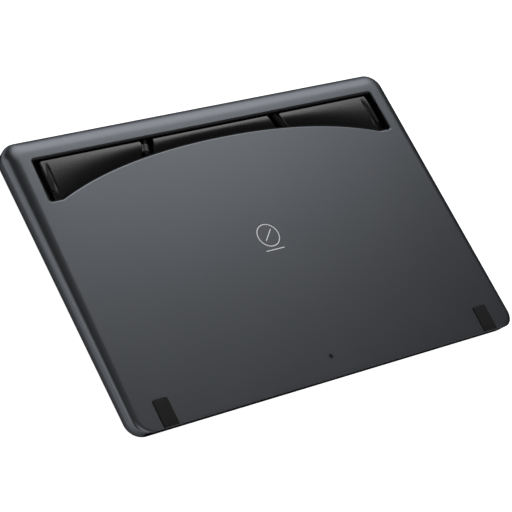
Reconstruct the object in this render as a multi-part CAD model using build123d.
"""Pen drawing tablet, back face up: a wedge-shaped pen display with two fold-out legs in a black pocket.

Body frame: X across the width, Y toward the stand edge, Z out of the back. The cover glass lies on Z = 0.
Millimetres throughout. "Left" and "right" are as seen from the back. The rear face is tilted by a small
wedge about X, so parts of the back are drawn in a rear frame (z = 0 on the rear face, z out of the back)
and moved to the drawing frame by rear(). The drawing frame is DATUM_Y below the middle of the body, and
every part is moved by that much when it is written, which puts the origin in the middle.
"""

import os
from math import atan, cos, degrees, radians, sin, tan

from build123d import *

os.makedirs("parts", exist_ok=True)

# ---------------------------------------------------------------- driving dimensions
WIDTH = 437.0            # across X
STAND_EDGE = 147.5       # y of the stand edge
PALM_EDGE = -149.5       # y of the palm edge
HEIGHT = STAND_EDGE - PALM_EDGE
DATUM_Y = 1.0            # the drawing frame lies this far below the middle of the body
THICK_BOTTOM = 17.0      # glass face to rear face at the palm edge
SLOPE = 3.5 / 299.0      # rise of the rear face toward the stand edge, where the body is 20.5 thick
CORNER_R = 16.0          # corner radius in plan
COVER_DEPTH = 10.5       # depth of the rear cover, measured from the rear face
COVER_WALL = 1.6
SIDE_ROUND = 7.0         # rounding of the rear cover along its sides
TOP_ROUND_Y = 16.0       # the stand edge is rounded off over this length of the rear face
TOP_ROUND_Z = 9.6        # and over this much depth
BOTTOM_ROUND = 1.5
UNDERCUT_DEG = 13.0      # the palm edge slopes inward toward the glass

GLASS_T = 1.5
FRAME_WALL = 2.2
FLANGE_T = 1.4

PANEL_W, PANEL_H = 413.0, 262.0   # outline of the display module
PANEL_Y = -4.0                    # its centre
LCD_T, GUIDE_T, DIGITIZER_T, SHIELD_T, CHASSIS_T = 1.4, 2.4, 0.6, 0.3, 1.0

POCKET_TOP = 124.7       # y of the pocket's top edge
POCKET_HALF = 197.35
POCKET_DEPTH = 8.6
LINER_T = 1.2            # floor of the liner; its walls are 1.0 thick
LINER_WALL = 1.0
ARC_MID, ARC_2, ARC_4 = 15.8, 24.5, 10.4   # depth in y of the lower edge: mid + a t^2 + b t^4
ARC_END = 183.2          # |x| where the curve meets the short straight lower edges
POCKET_END_Y = 44.9

LEG_OUT = 189.1          # |x| of a leg's outer end
LEG_IN = 80.6            # |x| of its inner end, at the top
LEG_GAP = 2.4            # gap to the pocket's top and lower edges
LEG_TOP_Z, LEG_LOW_Z = -1.4, -7.9
BLOCK_IN = 66.6          # |x| of the centre block's end, at the top
SLANT = 18.0             # tilt of the hinge line away from Y, degrees
HINGE_Z = -4.2           # hinge axis below the rear face
HINGE_OFF = 5.2          # hinge axis to the leg's inner end
BARREL_R = 3.2
PIN_R = 1.5
KNUCKLE_LEAF = 3.7       # half length of the leg's knuckle
KNUCKLE_BASE = (4.3, 7.6)
LEAF_END = 102.0         # |x| of the outer end of the hinge leaf
WASHER_T = 0.5

FOOT_X, FOOT_W = 184.9, 15.6
FOOT_TOP_Y, FOOT_LOW_Y = -122.2, -149.2
FOOT_PROUD, FOOT_SUNK = 1.0, 0.8
SCREW_Y = -129.1         # the one visible cover screw, on the centre line

USB_X = (112.0, 132.0)
BUTTONS = {"power_button": -112.0, "brightness_up_button": -130.0, "brightness_down_button": -142.0}
BUTTON_W, BUTTON_H = 8.0, 3.0
BUTTON_Z = 6.7

# ---------------------------------------------------------------- derived values
WEDGE = degrees(atan(SLOPE))
MID_Z = THICK_BOTTOM - PALM_EDGE * SLOPE    # thickness on the drawing frame's x axis
REAR = Location((0, 0, MID_Z), (WEDGE, 0, 0))
Z_LCD = GLASS_T
Z_GUIDE = Z_LCD + LCD_T
Z_DIGITIZER = Z_GUIDE + GUIDE_T
Z_SHIELD = Z_DIGITIZER + DIGITIZER_T
Z_CHASSIS = Z_SHIELD + SHIELD_T
Z_BACK = Z_CHASSIS + CHASSIS_T          # rear side of the chassis plate
PANEL_X1 = PANEL_W / 2
PANEL_Y0, PANEL_Y1 = PANEL_Y - PANEL_H / 2, PANEL_Y + PANEL_H / 2
FLOOR_LOW = -POCKET_DEPTH - LINER_T     # underside of the pocket liner, rear frame


# ---------------------------------------------------------------- helpers
def rear(shape):
    return REAR * shape


def slab(x0, x1, y0, y1, z0, z1):
    return Pos((x0 + x1) / 2, (y0 + y1) / 2, (z0 + z1) / 2) * Box(x1 - x0, y1 - y0, z1 - z0)


def plate(w, h, r, z0, z1, x=0.0, y=0.0):
    return extrude(Pos(x, y, z0) * RectangleRounded(w, h, r), z1 - z0)


def post(x, y, r, z0, z1):
    return Pos(x, y, (z0 + z1) / 2) * Cylinder(r, z1 - z0)


def prism(points, z0, z1):
    return extrude(Pos(0, 0, z0) * make_face(Polyline(*points, close=True)), z1 - z0)


def screw(x, y, z_head, r_head, t_head, r_shaft, length):
    """Pan-head screw pointing along -Z; z_head is the underside of its head. A cross recess is cut in it."""
    head = post(x, y, r_head, z_head, z_head + t_head)
    head = fillet(head.edges().filter_by(GeomType.CIRCLE).sort_by(Axis.Z)[-1], t_head * 0.3)
    arm = r_head * 0.55
    for w, h in ((arm * 2, arm * 0.45), (arm * 0.45, arm * 2)):
        head -= Pos(x, y, z_head + t_head) * Box(w, h, t_head * 0.9)
    return head + post(x, y, r_shaft, z_head - length, z_head)


def joined(shapes):
    return Compound(children=list(shapes)) if len(shapes) > 1 else shapes[0]


def arc_y(x, inset=0.0):
    """Lower edge of the pocket at x, in rear-frame y, moved up by inset."""
    t = x / POCKET_HALF
    return POCKET_TOP - (ARC_MID + ARC_2 * t**2 + ARC_4 * t**4) + inset


def arc_edge(x0, x1, inset=0.0, count=9):
    xs = [x0 + (x1 - x0) * i / (count - 1) for i in range(count)]
    return Spline([(x, arc_y(x, inset)) for x in xs])


def pocket_face(inset=0.0):
    """The pocket's outline, shrunk all round by inset."""
    half, top, low = POCKET_HALF - inset, POCKET_TOP - inset, POCKET_TOP - POCKET_END_Y + inset
    end = ARC_END
    arc = arc_edge(-end, end, inset, 17)
    a, b = (-end, arc_y(end, inset)), (end, arc_y(end, inset))
    rest = Polyline(b, (half, low), (half, top), (-half, top), (-half, low), a)
    face = make_face([arc, rest])
    sharp = [v for v in face.vertices() if abs(v.X) > POCKET_HALF - inset - 1]
    return fillet(sharp, max(3.0 - inset, 0.8))


def pocket_prism(inset, z0, z1):
    return extrude(Pos(0, 0, z0) * pocket_face(inset), z1 - z0)


# ---------------------------------------------------------------- outer envelope of the body
def envelope(d):
    """The whole body's outer shape moved inward by d, from below the glass to the rear face."""
    plan = plate(WIDTH - 2 * d, HEIGHT - 2 * d, CORNER_R - d, -1, 30, 0, -DATUM_Y)
    # side view in the rear frame: stand edge rounded over a quarter ellipse, palm edge over a small arc
    y1, y0, z1 = STAND_EDGE + 0.4 - d, PALM_EDGE - 0.4 + d, -d
    ry, rz = TOP_ROUND_Y + 0.4, TOP_ROUND_Z
    rb = max(BOTTOM_ROUND + 0.4 - d, 0.4)
    top_arc = EllipticalCenterArc((y1 - ry, z1 - rz), ry, rz, 0, arc_size=90)
    low_arc = CenterArc((y0 + rb, z1 - rb), rb, 90, 90)
    outline = [
        Line((y1, -35), (y1, z1 - rz)),
        top_arc,
        Line((y1 - ry, z1), (y0 + rb, z1)),
        low_arc,
        Line((y0, z1 - rb), (y0, -35)),
        Line((y0, -35), (y1, -35)),
    ]
    side_view = Plane(origin=(-WIDTH, 0, 0), x_dir=(0, 1, 0), z_dir=(1, 0, 0))
    by_side = rear(extrude(side_view * make_face(outline), 2 * WIDTH))
    # end view in the rear frame: both sides rounded
    r = SIDE_ROUND - d * 0.6
    x1 = WIDTH / 2 - d
    end_outline = [
        Line((-x1, -35), (x1, -35)),
        Line((x1, -35), (x1, z1 - r)),
        CenterArc((x1 - r, z1 - r), r, 0, 90),
        Line((x1 - r, z1), (-x1 + r, z1)),
        CenterArc((-x1 + r, z1 - r), r, 90, 90),
        Line((-x1, z1 - r), (-x1, -35)),
    ]
    end_view = Plane(origin=(0, HEIGHT, 0), x_dir=(1, 0, 0), z_dir=(0, -1, 0))
    by_end = rear(extrude(end_view * make_face(end_outline), 2 * HEIGHT))
    # palm edge: everything below a plane that leans inward toward the glass
    z_keep = THICK_BOTTOM - BOTTOM_ROUND
    slope = tan(radians(UNDERCUT_DEG))
    yb = PALM_EDGE + d
    lean = Polyline((yb + (z_keep + 1) * slope, -1), (yb, z_keep), (yb, 40), (HEIGHT, 40), (HEIGHT, -1),
                    close=True)
    by_palm = extrude(side_view * make_face(lean), 2 * WIDTH)
    return plan & by_side & by_end & by_palm


def above_split(extra=0.0):
    """Everything behind the joint between front frame and rear cover."""
    return rear(slab(-WIDTH, WIDTH, -HEIGHT, HEIGHT, -COVER_DEPTH + extra, 20))


def below_split():
    return rear(slab(-WIDTH, WIDTH, -HEIGHT, HEIGHT, -60, -COVER_DEPTH))


OUTER = envelope(0)

# ---------------------------------------------------------------- display stack
parts = {}
parts["cover_glass"] = envelope(0.35) & slab(-WIDTH, WIDTH, -HEIGHT, HEIGHT, 0, GLASS_T)
parts["lcd_cell"] = slab(-PANEL_X1 + 3, PANEL_X1 - 3, PANEL_Y0 + 3, PANEL_Y1 - 3, Z_LCD, Z_GUIDE)
ring = slab(-PANEL_X1, PANEL_X1, PANEL_Y0, PANEL_Y1, Z_LCD, Z_DIGITIZER)
ring -= slab(-PANEL_X1 + 2.9, PANEL_X1 - 2.9, PANEL_Y0 + 2.9, PANEL_Y1 - 2.9, Z_LCD - 1, Z_GUIDE)
ring -= slab(-PANEL_X1 + 1.5, PANEL_X1 - 1.5, PANEL_Y0 + 1.5, PANEL_Y1 - 1.5, Z_GUIDE, Z_DIGITIZER + 1)
CABLE = (8.0, 48.0)                      # x range of the display's flat cable
ring -= slab(CABLE[0] - 1, CABLE[1] + 1, PANEL_Y0 - 1, PANEL_Y0 + 3.1, Z_LCD + 0.5, Z_LCD + 1.2)
parts["backlight_frame"] = ring
parts["light_guide"] = slab(
    -PANEL_X1 + 1.7, PANEL_X1 - 1.7, PANEL_Y0 + 6.0, PANEL_Y1 - 1.7, Z_GUIDE, Z_DIGITIZER
)
led = slab(-PANEL_X1 + 4, PANEL_X1 - 4, PANEL_Y0 + 1.7, PANEL_Y0 + 2.5, Z_GUIDE + 0.1, Z_DIGITIZER - 0.1)
for i in range(30):
    x = -188.5 + 13 * i
    led += slab(x - 2.5, x + 2.5, PANEL_Y0 + 2.5, PANEL_Y0 + 5.8, Z_GUIDE + 0.5, Z_DIGITIZER - 0.5)
parts["led_bar"] = led

SLOT = (72.0, 102.0, -66.0, -60.0)      # passage for the digitizer's cable
digitizer = slab(-PANEL_X1 + 2, PANEL_X1 - 2, PANEL_Y0 + 2, PANEL_Y1 - 2, Z_DIGITIZER, Z_SHIELD)
parts["digitizer_board"] = digitizer
shield = slab(-PANEL_X1 + 2, PANEL_X1 - 2, PANEL_Y0 + 2, PANEL_Y1 - 2, Z_SHIELD, Z_CHASSIS)
parts["shield_plate"] = shield - slab(*SLOT, Z_SHIELD - 1, Z_CHASSIS + 1)

# ---------------------------------------------------------------- chassis plate with standoffs
BOARD = (-60.0, 60.0, -112.0, -42.0)
BOARD_Z0, BOARD_Z1 = Z_BACK + 2.5, Z_BACK + 4.1
BOARD_HOLES = [(x, y) for x in (-55, 55) for y in (-107, -47)]
COVER_SCREWS = [(0.0, SCREW_Y), (-FOOT_X, -133.0), (FOOT_X, -133.0)]
TRAY_SCREWS = [(sx * x, POCKET_TOP - y) for sx in (-1, 1) for x, y in ((110.0, 12.0), (178.0, 22.0))]
SIDE_SCREWS = [(sx * 211.4, y) for sx in (-1, 1) for y in (-120.0, -40.0, 45.0, 118.0)]
BLOCK_SCREWS = [(-36.0, POCKET_TOP - 9.0), (36.0, POCKET_TOP - 9.0)]
STANDOFF_TOP = -3.0                      # rear frame, under the cover's bosses

# hinge frame: local x along the hinge line, local y away from the leg, local z out of the back
S, C = sin(radians(SLANT)), cos(radians(SLANT))
LEG_MID_Y = POCKET_TOP - 10.3
AXIS_X = LEG_IN + (10.3 - LEG_GAP) * S / C - HINGE_OFF / C
AXIS_Y = LEG_MID_Y


def along(side, s, off, z):
    """Point at s along the hinge line (down the pocket) and off outward from it, on the given side."""
    return (side * (AXIS_X + s * S + off * C), AXIS_Y - s * C + off * S, z)


def hinge_box(side, s0, s1, o0, o1, z0, z1):
    corners = [along(side, s, o, 0)[:2] for s, o in ((s0, o0), (s1, o0), (s1, o1), (s0, o1))]
    return prism(corners, z0, z1)


def hinge_rod(side, s0, s1, r):
    direction = (side * S, -C, 0)
    plane = Plane(origin=along(side, s0, 0, HINGE_Z), z_dir=direction)
    return extrude(plane * Circle(r), s1 - s0)


HINGE_SCREWS = {side: [(side * 56.0, 115.5), (side * 66.5, 112.5)] for side in (-1, 1)}

chassis = plate(429.0, 267.0, 6.0, Z_CHASSIS, Z_BACK, 0, -5.5)
chassis -= slab(*SLOT, Z_CHASSIS - 1, Z_BACK + 1)
chassis -= slab(CABLE[0] - 2, CABLE[1] + 2, -145, PANEL_Y0 + 1.0, Z_CHASSIS - 1, Z_BACK + 1)
for x, y in BOARD_HOLES:
    chassis += post(x, y, 3.0, Z_CHASSIS, BOARD_Z0)
for x, y in COVER_SCREWS:
    chassis += rear(post(x, y, 3.2, -10.6, STANDOFF_TOP))
low_posts = TRAY_SCREWS + HINGE_SCREWS[-1] + HINGE_SCREWS[1] + BLOCK_SCREWS
for x, y in low_posts:
    chassis += rear(post(x, y, 3.0, FLOOR_LOW - 3.4, FLOOR_LOW))
for x, y in BOARD_HOLES:
    chassis -= post(x, y, 1.3, Z_CHASSIS - 1, BOARD_Z0 + 1)
for x, y in COVER_SCREWS:
    chassis -= rear(post(x, y, 1.3, -10.2, STANDOFF_TOP + 1))
for x, y in low_posts:
    chassis -= rear(post(x, y, 1.3, FLOOR_LOW - 2.9, FLOOR_LOW + 1))
for x, y in SIDE_SCREWS:
    chassis -= post(x, y, 1.3, Z_CHASSIS - 1, Z_BACK + 1)
parts["chassis_plate"] = chassis

# ---------------------------------------------------------------- front frame
band = OUTER & below_split() & slab(-WIDTH, WIDTH, -HEIGHT, HEIGHT, GLASS_T, 30)
hollow = envelope(FRAME_WALL) & slab(-WIDTH, WIDTH, -HEIGHT, HEIGHT, GLASS_T + FLANGE_T, 30)
frame = band - hollow
frame -= slab(-PANEL_X1 - 0.3, PANEL_X1 + 0.3, PANEL_Y0 - 0.3, PANEL_Y1 + 0.3, 0, 30)
frame -= slab(CABLE[0] - 2, CABLE[1] + 2, PANEL_Y0 - 2.4, PANEL_Y0, 0, Z_GUIDE + 1)
for x, y in SIDE_SCREWS:
    frame += post(x, y, 2.6, GLASS_T + FLANGE_T - 0.5, Z_CHASSIS)
IO_BOARD = (98.0, 146.0, 130.5, STAND_EDGE - 2.9)
KEY_BOARD = (-150.0, -102.0, 130.5, STAND_EDGE - 4.3)
STRIP_Z0, STRIP_Z1 = 4.1, 5.1
STRIP_HOLES = [(x, 133.6) for x in (IO_BOARD[0] + 3, IO_BOARD[1] - 3, KEY_BOARD[0] + 3, KEY_BOARD[1] - 3)]
for x, y in STRIP_HOLES:
    frame += post(x, y, 2.4, GLASS_T + FLANGE_T - 0.5, STRIP_Z0)
for x, y in SIDE_SCREWS:
    frame -= post(x, y, 1.3, GLASS_T + 0.8, Z_CHASSIS + 1)
for x, y in STRIP_HOLES:
    frame -= post(x, y, 0.95, GLASS_T + 0.6, STRIP_Z0 + 1)


def wall_hole(x, z, w, h, r):
    """Rounded opening through the frame's wall at the stand edge."""
    plane = Plane(origin=(x, STAND_EDGE + 1, z), x_dir=(-1, 0, 0), z_dir=(0, 1, 0))
    return extrude(plane * RectangleRounded(w, h, r), -5.0)


USB_Z = STRIP_Z1 + 1.6
for x in USB_X:
    frame -= wall_hole(x, USB_Z, 9.6, 3.9, 1.9)
for x in BUTTONS.values():
    frame -= wall_hole(x, BUTTON_Z, BUTTON_W + 0.3, BUTTON_H + 0.3, 1.4)
parts["front_frame"] = frame

# ---------------------------------------------------------------- boards in the strip behind the stand edge
io_board = slab(*IO_BOARD, STRIP_Z0, STRIP_Z1)
key_board = slab(*KEY_BOARD, STRIP_Z0, STRIP_Z1)
for x, y in STRIP_HOLES:
    hole = post(x, y, 1.05, STRIP_Z0 - 1, STRIP_Z1 + 1)
    io_board -= hole
    key_board -= hole
parts["io_board"] = io_board
parts["button_board"] = key_board


def usb_socket(x):
    back = Plane(origin=(x, STAND_EDGE - 0.9, USB_Z), x_dir=(-1, 0, 0), z_dir=(0, -1, 0))
    shell = extrude(back * RectangleRounded(8.94, 3.2, 1.5), 8.6)
    shell -= extrude(back * RectangleRounded(8.34, 2.6, 1.25), 7.0)
    tongue = extrude(back.offset(1.0) * Rectangle(6.7, 0.7), 6.6)
    return shell + tongue


parts["usb_c_socket_power"] = usb_socket(USB_X[0])
parts["usb_c_socket_video"] = usb_socket(USB_X[1])

switches, plungers = [], STAND_EDGE - 4.1
for name, x in BUTTONS.items():
    body = slab(x - 3.0, x + 3.0, plungers - 4.4, plungers - 0.8, STRIP_Z1, STRIP_Z1 + 2.8)
    body += slab(x - 1.3, x + 1.3, plungers - 0.8, plungers, BUTTON_Z - 0.8, BUTTON_Z + 0.8)
    switches.append(body)
    key_plane = Plane(origin=(x, STAND_EDGE - 0.1, BUTTON_Z), x_dir=(-1, 0, 0), z_dir=(0, -1, 0))
    cap = extrude(key_plane * RectangleRounded(BUTTON_W, BUTTON_H, 1.25), 3.4)
    cap = fillet(cap.faces().sort_by(Axis.Y)[-1].edges(), 0.3)
    lip = Plane(origin=(x, STAND_EDGE - 2.5, BUTTON_Z), x_dir=(-1, 0, 0), z_dir=(0, -1, 0))
    cap += extrude(lip * RectangleRounded(BUTTON_W + 1.6, BUTTON_H + 1.2, 1.4), 1.0)
    parts[name] = cap
parts["button_switches"] = joined(switches)
parts["strip_board_screws"] = joined(
    [screw(x, y, STRIP_Z1, 1.7, 1.0, 0.85, 2.6) for x, y in STRIP_HOLES])

# ---------------------------------------------------------------- main board
board = slab(*BOARD, BOARD_Z0, BOARD_Z1)
for x, y in BOARD_HOLES:
    board -= post(x, y, 1.35, BOARD_Z0 - 1, BOARD_Z1 + 1)
parts["main_board"] = board
chips = [slab(x - w / 2, x + w / 2, y - h / 2, y + h / 2, BOARD_Z1, BOARD_Z1 + t)
         for x, y, w, h, t in ((-18, -80, 15, 15, 1.2), (6, -80, 11, 13, 1.0), (40, -60, 8, 8, 1.0),
                               (42, -88, 6, 10, 1.8), (30, -104, 12, 5, 1.5), (-46, -70, 7, 7, 1.0))]
parts["main_board_chips"] = joined(chips)
can = slab(-30, 14, -92, -68, BOARD_Z1, BOARD_Z1 + 2.4) - slab(-29.7, 13.7, -91.7, -68.3, BOARD_Z1 - 1,
                                                               BOARD_Z1 + 2.1)
parts["shield_can"] = can
parts["thermal_pad"] = slab(-25, -11, -87, -73, BOARD_Z1 + 1.2, BOARD_Z1 + 2.1)
parts["main_board_screws"] = joined([screw(x, y, BOARD_Z1, 2.3, 1.4, 1.2, 4.0) for x, y in BOARD_HOLES])
sockets = [slab(CABLE[0] - 1, CABLE[1] + 1, -112, -108, BOARD_Z1, BOARD_Z1 + 1.0),
           slab(55.5, 60, -78, -48, BOARD_Z1, BOARD_Z1 + 1.0) - post(55, -47, 2.6, 0, 30),
           slab(-60, -56, -82, -66, BOARD_Z1, BOARD_Z1 + 1.0)]
parts["board_connectors"] = joined(sockets)

# flat cables, each a chain of thin slabs
F = 0.3
display = slab(*CABLE, PANEL_Y0 - 1.6, PANEL_Y0 + 2.6, Z_LCD + 0.7, Z_LCD + 0.7 + F)
display += slab(*CABLE, PANEL_Y0 - 1.6, PANEL_Y0 - 1.3, Z_LCD + 0.7, Z_BACK + 0.5)
display += slab(*CABLE, PANEL_Y0 - 1.6, -116.3, Z_BACK + 0.5 - F, Z_BACK + 0.5)
display += slab(*CABLE, -116.3, -116.0, Z_BACK + 0.5 - F, BOARD_Z1 + 1.0 + F)
display += slab(*CABLE, -116.3, -108.5, BOARD_Z1 + 1.0, BOARD_Z1 + 1.0 + F)
parts["display_cable"] = display
pen = slab(74, 100, -65, -58.5 - 2, Z_SHIELD, Z_SHIELD + F)
pen += slab(74, 74.3, -65, -60.5, Z_SHIELD, BOARD_Z1 + 1.0 + F)
pen += slab(56.5, 74.3, -65, -60.5, BOARD_Z1 + 1.0, BOARD_Z1 + 1.0 + F)
parts["digitizer_cable"] = pen


def strip_cable(side, x_run, y_board, w):
    """From a strip board, over the chassis plate, to the main board's side."""
    x0, x1 = sorted((side * x_run, side * (x_run + w)))
    run = slab(x0, x1, 128.6, 134.5, STRIP_Z1, STRIP_Z1 + F)
    run += slab(x0, x1, 128.6, 128.9, STRIP_Z1, Z_BACK + F)
    run += slab(x0, x1, y_board, 128.9, Z_BACK, Z_BACK + F)
    across = sorted((side * 64.0, side * (x_run + w)))
    run += slab(*across, y_board, y_board + w, Z_BACK, Z_BACK + F)
    up = sorted((side * 64.0, side * 64.3))
    run += slab(*up, y_board, y_board + w, Z_BACK, BOARD_Z1 + 1.0 + F)
    over = sorted((side * 57.0, side * 64.3))
    run += slab(*over, y_board, y_board + w, BOARD_Z1 + 1.0, BOARD_Z1 + 1.0 + F)
    return run


parts["io_cable"] = strip_cable(1, 118.0, -77.0, 9.0)
parts["button_cable"] = strip_cable(-1, 116.0, -80.0, 6.0)
parts["chassis_screws"] = joined([screw(x, y, Z_BACK, 2.2, 1.2, 1.15, 4.6) for x, y in SIDE_SCREWS])

# ---------------------------------------------------------------- rear cover
cover = (OUTER - envelope(COVER_WALL)) & above_split()
cover -= rear(pocket_prism(0, -20, 5))
for x, y in COVER_SCREWS:
    cover += rear(post(x, y, 3.4, STANDOFF_TOP, -0.9))
for side in (-1, 1):
    # the recess runs off the palm edge
    recess = plate(FOOT_W + 0.2, FOOT_TOP_Y - FOOT_LOW_Y + 4.1, 2.0, -FOOT_SUNK, 5, side * FOOT_X,
                   (FOOT_TOP_Y + FOOT_LOW_Y - 3.9) / 2)
    cover -= rear(recess)
for x, y in COVER_SCREWS:
    cover -= rear(post(x, y, 1.25, -5, 2))
    cover -= rear(post(x, y, 2.25, -2.0, 2))
parts["rear_cover"] = cover
parts["cover_screw_centre"] = rear(screw(0, SCREW_Y, -2.0, 2.1, 1.2, 1.15, 5.0))
parts["cover_screws_under_feet"] = joined(
    [rear(screw(x, y, -2.0, 2.1, 1.1, 1.15, 5.0)) for x, y in COVER_SCREWS[1:]])
for side, name in ((-1, "left"), (1, "right")):
    pad = plate(FOOT_W, FOOT_TOP_Y - FOOT_LOW_Y + 4, 1.9, -FOOT_SUNK, FOOT_PROUD, side * FOOT_X,
                (FOOT_TOP_Y + FOOT_LOW_Y - 4) / 2)
    pad &= slab(-WIDTH, WIDTH, FOOT_LOW_Y, 0, -FOOT_SUNK, FOOT_PROUD)
    pad = fillet(pad.faces().sort_by(Axis.Z)[-1].edges(), 0.5)
    parts[name + "_lower_foot"] = rear(pad)

# ---------------------------------------------------------------- pocket liner
liner = pocket_prism(0.1, FLOOR_LOW, -0.25) - pocket_prism(LINER_WALL, -POCKET_DEPTH, 1)
flange = pocket_prism(-4.0, -COVER_WALL - 1.0, -COVER_WALL) - pocket_prism(LINER_WALL - 0.2, -10, 1)
liner += flange
for x, y in low_posts:
    liner -= post(x, y, 1.35, FLOOR_LOW - 1, 0)
parts["stand_liner"] = rear(liner)
parts["liner_screws"] = joined(
    [rear(screw(x, y, -POCKET_DEPTH, 2.0, 0.55, 1.15, 3.6)) for x, y in TRAY_SCREWS])

# ---------------------------------------------------------------- centre block
def slanted(side, x_top, y):
    """|x| of a line parallel to the hinge line that passes x_top at the legs' top edge."""
    return side * (x_top + (POCKET_TOP - LEG_GAP - y) * S / C)


def block_outline():
    y_top, low = POCKET_TOP - LEG_GAP, None
    x = BLOCK_IN + 4.5
    for _ in range(8):
        low = arc_y(x, LEG_GAP)
        x = slanted(1, BLOCK_IN, low)
    arc = arc_edge(-x, x, LEG_GAP)
    rest = Polyline((x, low), (BLOCK_IN, y_top), (-BLOCK_IN, y_top), (-x, low))
    return make_face([arc, rest])


outline = block_outline()
outline = fillet(outline.vertices(), 1.6)
block = extrude(Pos(0, 0, -6.8) * outline, 6.8 + LEG_TOP_Z)
block = fillet(block.faces().sort_by(Axis.Z)[-1].edges(), 1.2)
block -= plate(92, 7.5, 1.5, -7, -3.4, 0, POCKET_TOP - 9.5)
for x, y in BLOCK_SCREWS:
    block += post(x, y, 2.8, -POCKET_DEPTH, -3.0)
    block -= post(x, y, 1.3, -POCKET_DEPTH - 1, -3.9)
parts["centre_block"] = rear(block)
# fixed from the inside: the shaft passes the chassis post and the liner into the block's boss
parts["centre_block_screws"] = joined(
    [rear(post(x, y, 1.15, FLOOR_LOW - 2.6, -4.2)) for x, y in BLOCK_SCREWS]
)

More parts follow.
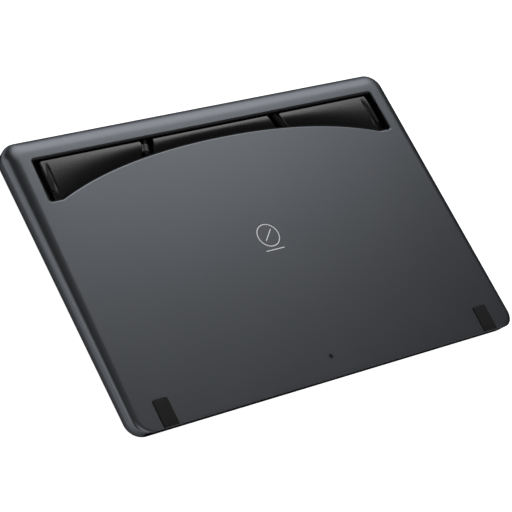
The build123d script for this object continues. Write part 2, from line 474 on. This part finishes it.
# ---------------------------------------------------------------- legs and hinges
for side, name in ((-1, "left"), (1, "right")):
    y_top = POCKET_TOP - LEG_GAP
    x_low = LEG_IN + 5
    for _ in range(8):
        low = arc_y(x_low, LEG_GAP)
        x_low = slanted(1, LEG_IN, low)
    end_low = POCKET_TOP - POCKET_END_Y + LEG_GAP
    arc = arc_edge(x_low, ARC_END - 1.5, LEG_GAP, 9)
    rest = Polyline((ARC_END - 1.5, arc_y(ARC_END - 1.5, LEG_GAP)), (LEG_OUT, end_low), (LEG_OUT, y_top),
                    (LEG_IN, y_top), (x_low, low))
    face = make_face([arc, rest])
    face = fillet([v for v in face.vertices() if v.X > LEG_OUT - 1], 2.5)
    face = fillet([v for v in face.vertices() if v.X < LEG_IN + 6], 1.6)
    leg = extrude(Pos(0, 0, LEG_LOW_Z) * face, LEG_TOP_Z - LEG_LOW_Z)
    leg = fillet(leg.faces().sort_by(Axis.Z)[-1].edges(), 1.2)
    # shallow finger groove just inside the outer end, and the seat of the rubber foot on that end
    foot_y0, foot_y1 = POCKET_TOP - 34.0, POCKET_TOP - 9.0
    leg -= plate(3.9, 22.6, 1.9, LEG_TOP_Z - 0.8, 1, 184.35, POCKET_TOP - 21.6)
    leg -= slab(LEG_OUT - 2.8, LEG_OUT + 1, foot_y0, foot_y1, LEG_LOW_Z + 0.9, LEG_TOP_Z - 0.2)
    rubber = slab(
        LEG_OUT - 2.8, LEG_OUT + 0.6, foot_y0 + 0.05, foot_y1 - 0.05, LEG_LOW_Z + 0.95, LEG_TOP_Z - 0.25
    )
    rubber = fillet(rubber.faces().sort_by(Axis.X)[-1].edges(), 0.5)
    # two lightening pockets in the underside, with a rib between them
    leg -= plate(40, 14, 3, LEG_LOW_Z - 1, -4.4, 130, POCKET_TOP - 14.5)
    leg -= plate(22, 26, 3, LEG_LOW_Z - 1, -4.4, 166, POCKET_TOP - 21.0)
    if side < 0:
        leg, rubber = mirror(leg, Plane.YZ), mirror(rubber, Plane.YZ)
    # seat for the leaf, two tapped holes
    seat = [along(side, -4.75, 4.0, 0)[:2], along(side, 6.15, 4.0, 0)[:2],
            (side * (LEAF_END + 0.1), 108.5), (side * (LEAF_END + 0.1), 120.3)]
    leg -= prism(seat, LEG_LOW_Z - 1, -6.2)
    leaf_holes = [(side * (LEAF_END - 4), y) for y in (111.4, 117.4)]
    leaf = prism([along(side, -4.3, HINGE_OFF + 0.05, 0)[:2], along(side, 6.0, HINGE_OFF + 0.05, 0)[:2],
                  (side * LEAF_END, 108.65), (side * LEAF_END, 120.15)], LEG_LOW_Z + 0.05, -6.25)
    leaf += hinge_box(side, -KNUCKLE_LEAF, KNUCKLE_LEAF, 0, HINGE_OFF - 0.05, -7.3, -2.4)
    leaf += hinge_box(side, -KNUCKLE_LEAF, KNUCKLE_LEAF, HINGE_OFF - 1, HINGE_OFF + 1.0, -7.3, -6.25)
    leaf += hinge_rod(side, -KNUCKLE_LEAF, KNUCKLE_LEAF, BARREL_R)
    leaf -= hinge_rod(side, -9, 9, PIN_R + 0.03)
    base = prism([along(side, -7.0, 3.4, 0)[:2], along(side, 7.0, 3.4, 0)[:2], along(side, 7.0, -4.0, 0)[:2],
                  (side * 52.0, 109.6), (side * 52.0, 121.8), along(side, -7.0, -4.0, 0)[:2]],
                 -POCKET_DEPTH, -7.5)
    for k in (-1, 1):
        s0, s1 = sorted((k * KNUCKLE_BASE[0], k * KNUCKLE_BASE[1]))
        base += hinge_rod(side, s0, s1, BARREL_R)
        base += hinge_box(side, s0, s1, -BARREL_R, BARREL_R, -8.0, HINGE_Z)
    base -= hinge_rod(side, -9, 9, PIN_R + 0.02)
    washers = [hinge_rod(side, s, s + WASHER_T, BARREL_R - 0.2) - hinge_rod(side, -9, 9, PIN_R + 0.05)
               for s in (KNUCKLE_LEAF + 0.05, -KNUCKLE_LEAF - 0.05 - WASHER_T)]
    base_screws = []
    for x, y in HINGE_SCREWS[side]:
        base -= post(x, y, 1.35, -POCKET_DEPTH - 1, -7)
        base_screws.append(rear(post(x, y, 2.1, -7.5, -6.9) + post(x, y, 1.15, -12.2, -7.4)))
    leaf_screws = []
    for x, y in leaf_holes:
        leg -= post(x, y, 1.05, -7, -3.2)
        leaf -= post(x, y, 1.1, LEG_LOW_Z - 1, -6)
        leaf -= post(x, y, 1.95, LEG_LOW_Z - 1, LEG_LOW_Z + 0.9)
        leaf_screws.append(rear(post(x, y, 1.85, LEG_LOW_Z + 0.1, LEG_LOW_Z + 0.9) +
                                post(x, y, 1.0, LEG_LOW_Z + 0.5, -3.6)))
    parts[name + "_leg"] = rear(leg)
    parts[name + "_leg_foot"] = rear(rubber)
    parts[name + "_hinge_leaf"] = rear(leaf)
    parts[name + "_hinge_base"] = rear(base)
    parts[name + "_hinge_pin"] = rear(hinge_rod(side, -7.6, 7.6, PIN_R))
    parts[name + "_hinge_washers"] = joined([rear(w) for w in washers])
    parts[name + "_hinge_base_screws"] = joined(base_screws)
    parts[name + "_hinge_leaf_screws"] = joined(leaf_screws)

# ---------------------------------------------------------------- output
to_middle = Location((0, DATUM_Y, 0))
for name, shape in parts.items():
    export_step(joined([solid.moved(to_middle) for solid in shape.solids()]), f"parts/{name}.step")
    print(name, round(shape.volume, 1))
hinge = {
    side: tuple(round(v, 5) for v in (to_middle * REAR * Pos(*along(side, 0, 0, HINGE_Z))).position)
    for side in (-1, 1)
}
print("hinge points", hinge, "wedge", round(WEDGE, 4))
